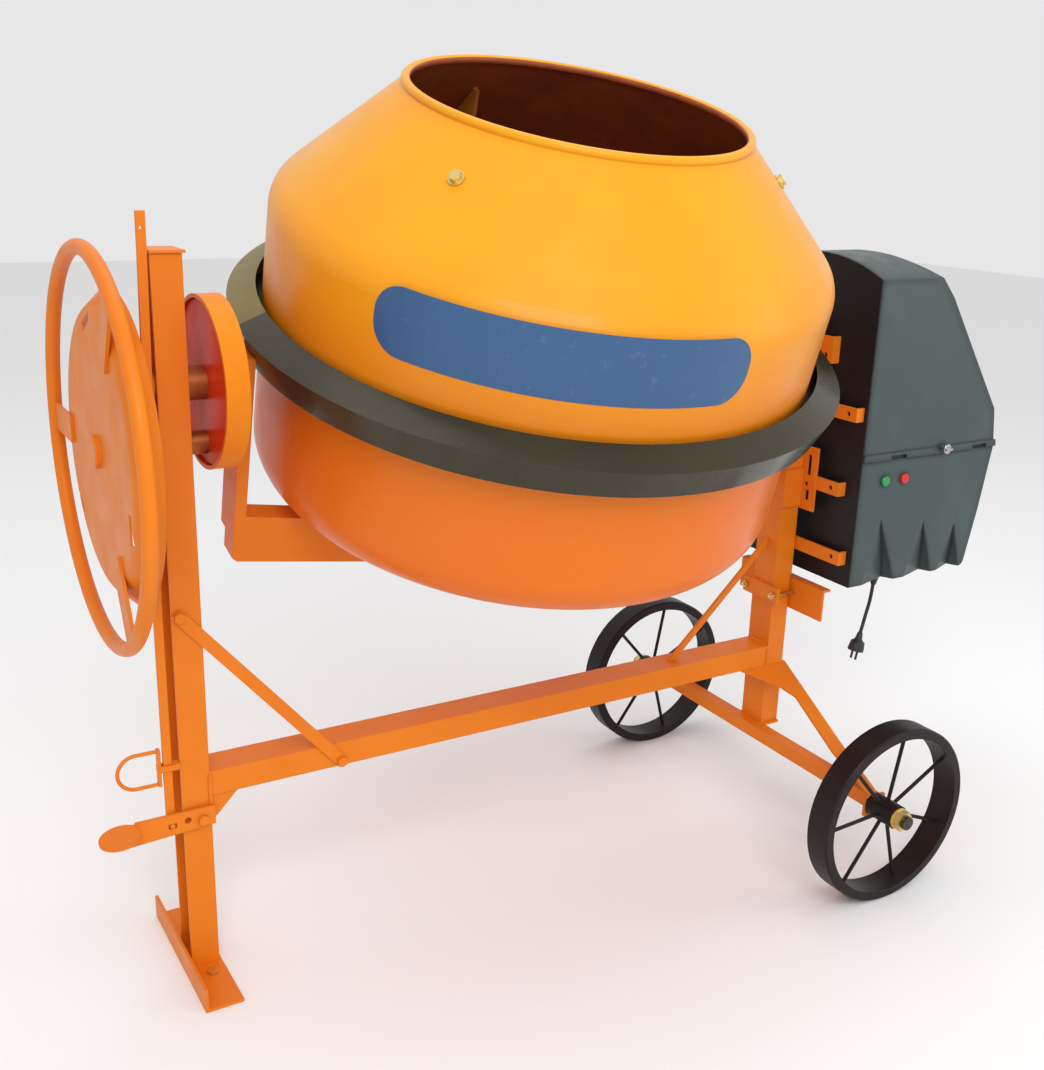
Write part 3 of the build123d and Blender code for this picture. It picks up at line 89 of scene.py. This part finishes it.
# ---------------------------------------------------------------- material building blocks
class Shader:
    """A node material around one Principled shader, in the object's own coordinates."""

    def __init__(self, name):
        self.mat = bpy.data.materials.new(name)
        self.mat.use_nodes = True
        self.nodes = self.mat.node_tree.nodes
        self.links = self.mat.node_tree.links
        self.bsdf = self.nodes["Principled BSDF"]
        places = self.nodes.new("ShaderNodeTexCoord")
        self.coord = places.outputs["Object"]
        self.own_normal = places.outputs["Normal"]

    def link(self, a, b):
        self.links.new(a, b)

    def noise(self, scale, detail=2.0, rough=0.5, stretch=(1, 1, 1)):
        """Noise value, scale in repeats per metre."""
        where = self.nodes.new("ShaderNodeMapping")
        where.inputs["Scale"].default_value = stretch
        self.link(self.coord, where.inputs["Vector"])
        tex = self.nodes.new("ShaderNodeTexNoise")
        tex.inputs["Scale"].default_value = scale
        tex.inputs["Detail"].default_value = detail
        tex.inputs["Roughness"].default_value = rough
        self.link(where.outputs["Vector"], tex.inputs["Vector"])
        return tex.outputs["Fac"]

    def ramp(self, value, low, high, a=0.0, b=1.0):
        """Value remapped from low..high to a..b."""
        node = self.nodes.new("ShaderNodeMapRange")
        node.inputs["From Min"].default_value = low
        node.inputs["From Max"].default_value = high
        node.inputs["To Min"].default_value = a
        node.inputs["To Max"].default_value = b
        self.link(value, node.inputs["Value"])
        return node.outputs["Result"]

    def multiply(self, a, b):
        node = self.nodes.new("ShaderNodeMath")
        node.operation = "MULTIPLY"
        self.link(a, node.inputs[0])
        if isinstance(b, (int, float)):
            node.inputs[1].default_value = b
        else:
            self.link(b, node.inputs[1])
        return node.outputs["Value"]

    def mix(self, fac, a, b):
        """Colour a where fac is 0, colour b where it is 1."""
        node = self.nodes.new("ShaderNodeMix")
        node.data_type = "RGBA"
        for socket, colour in ((node.inputs[6], a), (node.inputs[7], b)):
            if isinstance(colour, tuple):
                socket.default_value = colour + (1.0,)
            else:
                self.link(colour, socket)
        self.link(fac, node.inputs[0])
        return node.outputs[2]

    def edges(self, radius, low=0.90, high=0.995):
        """1 on sharp edges and 0 on flat faces."""
        bevel = self.nodes.new("ShaderNodeBevel")
        bevel.samples = 4
        bevel.inputs["Radius"].default_value = radius
        flat = self.nodes.new("ShaderNodeNewGeometry")
        dot = self.nodes.new("ShaderNodeVectorMath")
        dot.operation = "DOT_PRODUCT"
        self.link(bevel.outputs["Normal"], dot.inputs[0])
        self.link(flat.outputs["Normal"], dot.inputs[1])
        return self.ramp(dot.outputs["Value"], high, low)

    def worn_edge(self):
        """1 on chipped stretches of the sharp edges."""
        chips = self.ramp(self.noise(160.0, 3.0, 0.7), 0.52, 0.62)
        return self.multiply(self.edges(0.0012), chips)

    def bump(self, value, strength, distance, after=None, radius=0.0):
        """Bump normal from a value, over an optional softened edge."""
        node = self.nodes.new("ShaderNodeBump")
        node.inputs["Strength"].default_value = strength
        node.inputs["Distance"].default_value = distance
        self.link(value, node.inputs["Height"])
        if radius:
            bevel = self.nodes.new("ShaderNodeBevel")
            bevel.samples = 4
            bevel.inputs["Radius"].default_value = radius
            self.link(bevel.outputs["Normal"], node.inputs["Normal"])
        if after is not None:
            self.link(after, node.inputs["Normal"])
        return node.outputs["Normal"]

    def from_axis(self, centre, keep):
        """Distance from an axis through centre; keep is 0 along the axis and 1 across it."""
        offset = self.nodes.new("ShaderNodeVectorMath")
        offset.operation = "SUBTRACT"
        offset.inputs[1].default_value = centre
        self.link(self.coord, offset.inputs[0])
        across = self.nodes.new("ShaderNodeVectorMath")
        across.operation = "MULTIPLY"
        across.inputs[1].default_value = keep
        self.link(offset.outputs["Vector"], across.inputs[0])
        length = self.nodes.new("ShaderNodeVectorMath")
        length.operation = "LENGTH"
        self.link(across.outputs["Vector"], length.inputs[0])
        return length.outputs["Value"]

    def axis_value(self, letter):
        """One of the object's own X, Y and Z coordinates."""
        split = self.nodes.new("ShaderNodeSeparateXYZ")
        self.link(self.coord, split.inputs["Vector"])
        return split.outputs[letter]

    def rough(self, low, high, scale=14.0, detail=4.0, grit=0.6):
        """Roughness that drifts between two values."""
        drift = self.noise(scale, detail, grit)
        self.link(self.ramp(drift, 0.3, 0.7, low, high), self.bsdf.inputs["Roughness"])

    def relief(self, normal):
        self.link(normal, self.bsdf.inputs["Normal"])

    def colour(self, value):
        if isinstance(value, tuple):
            self.bsdf.inputs["Base Color"].default_value = value + (1.0,)
        else:
            self.link(value, self.bsdf.inputs["Base Color"])

    def set(self, **values):
        for name, value in values.items():
            self.bsdf.inputs[name.replace("_", " ")].default_value = value


def paint(name, base, dark, rough=0.38, coat=0.04, wear=0.5, peel=0.10):
    """Sprayed enamel: orange peel, faint cloudy shade, worn edges and dust in patches."""
    s = Shader(name)
    cloud = s.ramp(s.noise(5.0, 4.0, 0.6), 0.40, 0.72)
    tone = s.mix(s.multiply(cloud, 0.45), base, dark)
    tone = s.mix(s.multiply(s.worn_edge(), wear), tone, (0.20, 0.15, 0.12))
    speck = s.ramp(s.noise(420.0, 2.0, 0.6), 0.70, 0.76)
    tone = s.mix(s.multiply(speck, 0.12), tone, (0.75, 0.68, 0.60))
    s.colour(tone)
    s.rough(rough - 0.06, rough + 0.12)
    s.relief(s.bump(s.noise(520.0, 1.0), peel, 0.0006, radius=0.0010))
    s.set(Coat_Weight=coat, Coat_Roughness=0.15, Specular_IOR_Level=0.17)
    return s.mat


def spindle_paint(name):
    """Frame enamel with bare steel at the two wheel spindles."""
    s = Shader(name)
    reach = s.nodes.new("ShaderNodeMath")
    reach.operation = "ABSOLUTE"
    offset = s.nodes.new("ShaderNodeMath")
    offset.operation = "SUBTRACT"
    s.link(s.axis_value("Y"), offset.inputs[0])
    offset.inputs[1].default_value = AXLE_MIDDLE_Y
    s.link(offset.outputs["Value"], reach.inputs[0])
    bare = s.ramp(reach.outputs["Value"], SPINDLE_FROM, SPINDLE_FROM + 0.0005)
    cloud = s.ramp(s.noise(5.0, 4.0, 0.6), 0.40, 0.72)
    orange = s.mix(s.multiply(cloud, 0.45), *FRAME_ORANGE)
    smear = s.ramp(s.noise(220.0, 3.0), 0.4, 0.7)
    grease = s.mix(smear, (0.10, 0.085, 0.070), (0.045, 0.036, 0.030))
    s.colour(s.mix(bare, orange, grease))
    s.link(bare, s.bsdf.inputs["Metallic"])
    s.relief(s.bump(s.noise(520.0, 1.0), 0.10, 0.0006, radius=0.0010))
    s.set(Roughness=0.40, Specular_IOR_Level=0.17)
    return s.mat


def dish_paint(name):
    """Orange rim, red cover and web, teeth dark with grease and painted shade."""
    s = Shader(name)
    radius = s.from_axis(TILT_AXIS, (0, 1, 1))
    rim = s.ramp(radius, DISH_RIM_R - STEP, DISH_RIM_R + STEP)
    cloud = s.ramp(s.noise(7.0, 4.0, 0.6), 0.40, 0.72)
    red = s.mix(s.multiply(cloud, 0.5), *DISH_RED)
    orange = s.mix(s.multiply(cloud, 0.4), *RIM_ORANGE)
    x = s.axis_value("X")
    first = s.ramp(x, DISH_TEETH_X[0] - STEP, DISH_TEETH_X[0])
    last = s.ramp(x, DISH_TEETH_X[1], DISH_TEETH_X[1] - STEP)
    hub = s.ramp(radius, DISH_HUB_R, DISH_HUB_R + 0.001)
    teeth = s.multiply(s.multiply(first, last), hub)
    # the teeth are darkened partly for grease and partly as painted shade inside the rim
    tone = s.mix(teeth, red, (0.030, 0.024, 0.020))
    tone = s.mix(rim, tone, orange)
    tone = s.mix(s.multiply(s.worn_edge(), 0.5), tone, (0.20, 0.13, 0.10))
    s.colour(tone)
    s.rough(0.28, 0.45)
    s.relief(s.bump(s.noise(520.0, 1.0), 0.10, 0.0006, radius=0.0010))
    s.set(Specular_IOR_Level=0.10)
    return s.mat


def print_film(name, base):
    """Printed vinyl film: even colour, faint rubs and small bubbles."""
    s = Shader(name)
    rub = s.ramp(s.noise(60.0, 5.0, 0.7), 0.60, 0.78)
    s.colour(s.mix(s.multiply(rub, 0.25), base, tuple(0.6 * c + 0.25 for c in base)))
    s.relief(s.bump(s.noise(90.0, 2.0), 0.05, 0.0004))
    s.set(Roughness=0.32, Coat_Weight=0.2, Coat_Roughness=0.1)
    return s.mat


def metal(name, base, rough=0.35, grain=(1, 1, 12), tint=(0.30, 0.26, 0.20)):
    """Bare or plated metal with fine machining lines and faint stains."""
    s = Shader(name)
    blotch = s.ramp(s.noise(40.0, 4.0, 0.6), 0.50, 0.75)
    s.colour(s.mix(s.multiply(blotch, 0.35), base, tint))
    lines = s.noise(300.0, 2.0, 0.6, stretch=grain)
    s.link(s.ramp(lines, 0.3, 0.7, rough - 0.08, rough + 0.10), s.bsdf.inputs["Roughness"])
    s.relief(s.bump(lines, 0.08, 0.0004, radius=0.0006))
    s.set(Metallic=1.0)
    return s.mat


def cast(name, base):
    """Rough cast iron."""
    s = Shader(name)
    pits = s.noise(350.0, 4.0, 0.7)
    s.colour(s.mix(s.ramp(pits, 0.35, 0.70), base, tuple(0.55 * c for c in base)))
    s.relief(s.bump(pits, 0.45, 0.0008, radius=0.0008))
    s.set(Metallic=0.6, Roughness=0.55)
    return s.mat


def plastic(name, base, rough=0.55, grain=0.25, scale=900.0, scuff=0.25, soft=0.0012):
    """Moulded plastic with a fine grain, pale scuffs, a painted highlight along sharp edges and
    softened edges.
    """
    s = Shader(name)
    rub = s.ramp(s.noise(9.0, 5.0, 0.65), 0.52, 0.80)
    pale = tuple(min(1.0, 1.5 * c + 0.02) for c in base)
    tone = s.mix(s.multiply(rub, scuff), base, pale)
    # painted highlight: sharp edges are lightened towards the pale tone
    edge_highlight = s.edges(0.0014)
    tone = s.mix(s.multiply(edge_highlight, 0.35), tone, pale)
    s.colour(tone)
    s.relief(s.bump(s.noise(scale, 2.0, 0.6), grain, 0.0005, radius=soft))
    s.rough(rough - 0.08, rough + 0.08, 22.0, 3.0, 0.5)
    return s.mat


def drum_height(s):
    """Height along the drum's own axis."""
    upright = s.nodes.new("ShaderNodeMapping")
    upright.vector_type = "POINT"
    turn = Matrix.Rotation(-DRUM_LEAN, 3, "X")
    upright.inputs["Rotation"].default_value = (-DRUM_LEAN, 0, 0)
    upright.inputs["Location"].default_value = -(turn @ DRUM_CENTRE)
    s.link(s.coord, upright.inputs["Vector"])
    rise = s.nodes.new("ShaderNodeSeparateXYZ")
    s.link(upright.outputs["Vector"], rise.inputs["Vector"])
    return rise.outputs["Z"]


def faces_inwards(s):
    """1 where the surface faces a point in the middle of the drum."""
    outward = s.nodes.new("ShaderNodeVectorMath")
    outward.operation = "SUBTRACT"
    s.link(s.coord, outward.inputs[0])
    outward.inputs[1].default_value = DRUM_MIDDLE
    facing = s.nodes.new("ShaderNodeVectorMath")
    facing.operation = "DOT_PRODUCT"
    s.link(outward.outputs["Vector"], facing.inputs[0])
    s.link(s.own_normal, facing.inputs[1])
    return s.ramp(facing.outputs["Value"], 0.01, -0.01)


def drum_paint(name):
    """Enamel on spun sheet: painted shade (redder) below and a painted highlight (yellower) above
    outside, darker and mottled brown inside.
    """
    s = Shader(name)
    inside = faces_inwards(s)
    cloud = s.ramp(s.noise(4.0, 4.0, 0.6), 0.35, 0.75)
    # painted light: the colour runs from painted shade at the bottom of the drum to a painted
    # highlight at the top
    painted_light_rise = s.ramp(drum_height(s), -0.05, 0.30)
    tone = s.mix(painted_light_rise, DRUM_PAINTED_SHADE, DRUM_PAINTED_HIGHLIGHT)
    tone = s.mix(s.multiply(cloud, 0.35), tone, DRUM_CLOUD)
    # faces turned inwards are darker and mottled brown
    blotch = s.ramp(s.noise(12.0, 6.0, 0.7), 0.30, 0.70)
    deep = s.mix(blotch, *DRUM_INSIDE)
    tone = s.mix(inside, tone, deep)
    tone = s.mix(s.multiply(s.worn_edge(), 0.4), tone, (0.22, 0.14, 0.08))
    s.colour(tone)
    s.relief(s.bump(s.noise(420.0, 1.0), 0.10, 0.0006, radius=0.0010))
    s.rough(0.26, 0.42)
    s.set(Coat_Weight=0.08, Coat_Roughness=0.12, Specular_IOR_Level=0.20)
    return s.mat


MATERIALS = {
    "frame_paint": paint("frame_paint", *FRAME_ORANGE),
    "drum_paint": drum_paint("drum_paint"),
    "spindle_paint": spindle_paint("spindle_paint"),
    "gear_paint": dish_paint("gear_paint"),
    # guard_paint is a painted reflection: its olive stands for light on the rear half of the
    # guard, which is the same dark paint as guard_black
    "guard_paint": paint("guard_paint", (0.190, 0.155, 0.050), (0.120, 0.100, 0.036), rough=0.42),
    "guard_black": paint(
        "guard_black", (0.034, 0.028, 0.011), (0.022, 0.017, 0.009), rough=0.24, coat=0.3, wear=0.3
    ),
    "wheel_paint": paint(
        "wheel_paint", (0.012, 0.008, 0.007), (0.022, 0.015, 0.012), rough=0.42, wear=0.3
    ),
    "grey_paint": paint("grey_paint", (0.075, 0.085, 0.095), (0.050, 0.055, 0.060), rough=0.42),
    "plate_steel": paint(
        "plate_steel", (0.010, 0.010, 0.011), (0.018, 0.017, 0.017), rough=0.45, wear=0.2
    ),
    "steel": metal("steel", (0.45, 0.45, 0.46), 0.30),
    "zinc": metal("zinc", (0.72, 0.54, 0.20), 0.34, tint=(0.42, 0.26, 0.10)),
    "bronze": metal("bronze", (0.40, 0.13, 0.045), 0.50, tint=(0.20, 0.07, 0.03)),
    "iron": cast("iron", (0.11, 0.105, 0.10)),
    "box_plastic": plastic("box_plastic", (0.036, 0.055, 0.056), 0.40, soft=0.018),
    "belt_rubber": plastic("belt_rubber", (0.022, 0.022, 0.022), 0.75),
    "cord_rubber": plastic("cord_rubber", (0.014, 0.014, 0.015), 0.55, grain=0.15),
    "plug_plastic": plastic("plug_plastic", (0.018, 0.018, 0.020), 0.50),
    "button_green": plastic("button_green", (0.015, 0.26, 0.060), 0.30, grain=0.06),
    "button_red": plastic("button_red", (0.55, 0.014, 0.014), 0.30, grain=0.06),
    "label_blue": print_film("label_blue", (0.018, 0.085, 0.215)),
    "weld": paint("weld", (0.74, 0.200, 0.010), (0.60, 0.130, 0.009), rough=0.40, wear=0.8),
}


def dress_cad():
    """Gives every CAD node the material of its slot."""
    for part in frame["record"]["subparts"]:
        mesh = frame["nodes"][part["node"]].data
        mesh.materials.clear()
        mesh.materials.append(MATERIALS[part["material_slot"]])
    axle = frame["nodes"]["axle_beam"].data
    axle.materials[0] = MATERIALS["spindle_paint"]


# ---------------------------------------------------------------- piece building blocks
def mesh_piece(name, points, faces, material, body, smooth=True):
    """New mesh piece in the row frame."""
    mesh = bpy.data.meshes.new(name)
    mesh.from_pydata([tuple(p) for p in points], [], faces)
    mesh.update()
    for polygon in mesh.polygons:
        polygon.use_smooth = smooth
    obj = bpy.data.objects.new(name, mesh)
    bpy.context.scene.collection.objects.link(obj)
    mesh.materials.append(MATERIALS[material])
    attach(obj, body)
    return obj


def bead(name, start, end, body, radius=0.0035, pitch=0.004):
    """Rippled weld bead along a straight joint."""
    start, end = Vector(start), Vector(end)
    along = (end - start).normalized()
    side = along.orthogonal().normalized()
    up = along.cross(side)
    count = max(6, int((end - start).length / pitch) * 2)
    around = 10
    points = [start]
    for i in range(count + 1):
        centre = start.lerp(end, i / count)
        r = radius * (0.5 if i in (0, count) else (0.92 if i % 2 else 1.08))
        for k in range(around):
            angle = 2 * math.pi * k / around
            points.append(centre + (side * math.cos(angle) + up * math.sin(angle)) * r)
    points.append(end)
    faces = []
    for k in range(around):
        faces.append((0, 1 + (k + 1) % around, 1 + k))
        for i in range(count):
            a = 1 + i * around
            b = a + around
            faces.append((a + k, a + (k + 1) % around, b + (k + 1) % around, b + k))
        last = 1 + count * around
        faces.append((len(points) - 1, last + k, last + (k + 1) % around))
    return mesh_piece(name, points, faces, "weld", body)


def welds():
    """Weld beads at both ends of the main beam and on the foot angle."""
    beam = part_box("main_beam")
    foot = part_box("foot_angle")
    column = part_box("left_column")
    (x0, y0, z0), (x1, y1, z1) = beam
    for end, x in (("left", x0), ("right", x1)):
        bead(f"weld_{end}_front", (x, y0, z0 + 0.004), (x, y0, z1 - 0.004), "frame")
        bead(f"weld_{end}_back", (x, y1, z0 + 0.004), (x, y1, z1 - 0.004), "frame")
        bead(f"weld_{end}_top", (x, y0 + 0.006, z1), (x, y1 - 0.006, z1), "frame")
    sole = foot[0][2] + 0.005
    left = column[0][0]
    front = column[0][1] + 0.006
    back = column[1][1] - 0.006
    bead("weld_foot", (left, front, sole), (left, back, sole), "frame")


# ---------------------------------------------------------------- label
def label():
    """Plain blue film with rounded ends round the front left of the drum's belt."""
    radius = DRUM_R + LABEL_LIFT
    a0, a1 = LABEL_ANGLES
    low, high = LABEL_HEIGHTS
    half_length = radius * (a1 - a0) / 2
    columns, rows = 120, 8
    points = []
    for i in range(columns + 1):
        t = -math.cos(math.pi * i / columns)
        past = max(0.0, abs(t) * half_length - (half_length - LABEL_CORNER))
        cut = LABEL_CORNER - math.sqrt(max(0.0, LABEL_CORNER**2 - past**2))
        angle = (a0 + a1) / 2 + t * (a1 - a0) / 2
        for k in range(rows + 1):
            z = low + cut + (high - low - 2 * cut) * k / rows
            points.append(DRUM @ Vector((radius * math.cos(angle), radius * math.sin(angle), z)))
    faces = []
    for i in range(columns):
        for k in range(rows):
            a = i * (rows + 1) + k
            faces.append((a, a + rows + 1, a + rows + 2, a + 1))
    mesh_piece("belt_label", points, faces, "label_blue", "drum")


# ---------------------------------------------------------------- cord
def cord():
    """Short hanging mains cord along the listed route."""
    curve = bpy.data.curves.new("mains_cord", "CURVE")
    curve.dimensions = "3D"
    curve.bevel_depth = CORD_D / 2
    curve.bevel_resolution = 8
    curve.resolution_u = 24
    curve.use_fill_caps = True
    spline = curve.splines.new("NURBS")
    spline.points.add(len(CORD_ROUTE) - 1)
    for point, place in zip(spline.points, CORD_ROUTE):
        point.co = (*place, 1.0)
    spline.order_u = 3
    spline.use_endpoint_u = True
    obj = bpy.data.objects.new("mains_cord", curve)
    bpy.context.scene.collection.objects.link(obj)
    curve.materials.append(MATERIALS["cord_rubber"])
    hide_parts("power_cord")
    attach(obj, "frame")


# ---------------------------------------------------------------- stage
def floor():
    """Plain pale floor that isn't part of the object."""
    mesh = bpy.data.meshes.new("floor")
    mesh.from_pydata([(-12, -12, 0), (12, -12, 0), (12, 12, 0), (-12, 12, 0)], [], [(0, 1, 2, 3)])
    obj = bpy.data.objects.new("floor", mesh)
    bpy.context.scene.collection.objects.link(obj)
    s = Shader("floor")
    s.colour((0.86, 0.86, 0.86))
    s.set(Roughness=0.85)
    mesh.materials.append(s.mat)


def lamp(name, place, target, size, power, colour=(1, 1, 1)):
    """Soft square light aimed at a point."""
    data = bpy.data.lights.new(name, "AREA")
    data.size = size
    data.energy = power
    data.color = colour
    obj = bpy.data.objects.new(name, data)
    bpy.context.scene.collection.objects.link(obj)
    obj.location = place
    aim = Vector(target) - Vector(place)
    obj.rotation_euler = aim.to_track_quat("-Z", "Y").to_euler()


def lights():
    """Key from the front left, fill from the right, top light and an even surround."""
    middle = (0.6, 0.0, 0.8)
    lamp("key", (-0.6, -3.0, 3.2), middle, 2.0, 72)
    lamp("fill", (3.4, -2.4, 1.8), middle, 2.5, 22)
    lamp("top", (0.8, 0.6, 3.8), middle, 2.6, 30)
    world = bpy.data.worlds.new("surround")
    world.use_nodes = True
    world.node_tree.nodes["Background"].inputs["Color"].default_value = (1, 1, 1, 1)
    world.node_tree.nodes["Background"].inputs["Strength"].default_value = 0.80
    bpy.context.scene.world = world


def camera():
    """Camera in front, to the left and a little above the drum."""
    data = bpy.data.cameras.new("camera")
    data.sensor_fit = "HORIZONTAL"
    data.sensor_width = 36.0
    data.lens = 43.04
    data.shift_y = 0.0037
    obj = bpy.data.objects.new("camera", data)
    bpy.context.scene.collection.objects.link(obj)
    right = Vector((0.86160801, -0.50680261, 0.02797772))
    up = Vector((0.13023598, 0.27401475, 0.95286647))
    back = right.cross(up)
    turn = Matrix((right, up, back)).transposed().to_4x4()
    obj.matrix_world = Matrix.Translation((-0.49005, -1.74675, 1.30239)) @ turn
    bpy.context.scene.camera = obj


dress_cad()
welds()
label()
cord()
floor()
lights()
camera()
bpy.context.scene.view_settings.view_transform = "Standard"
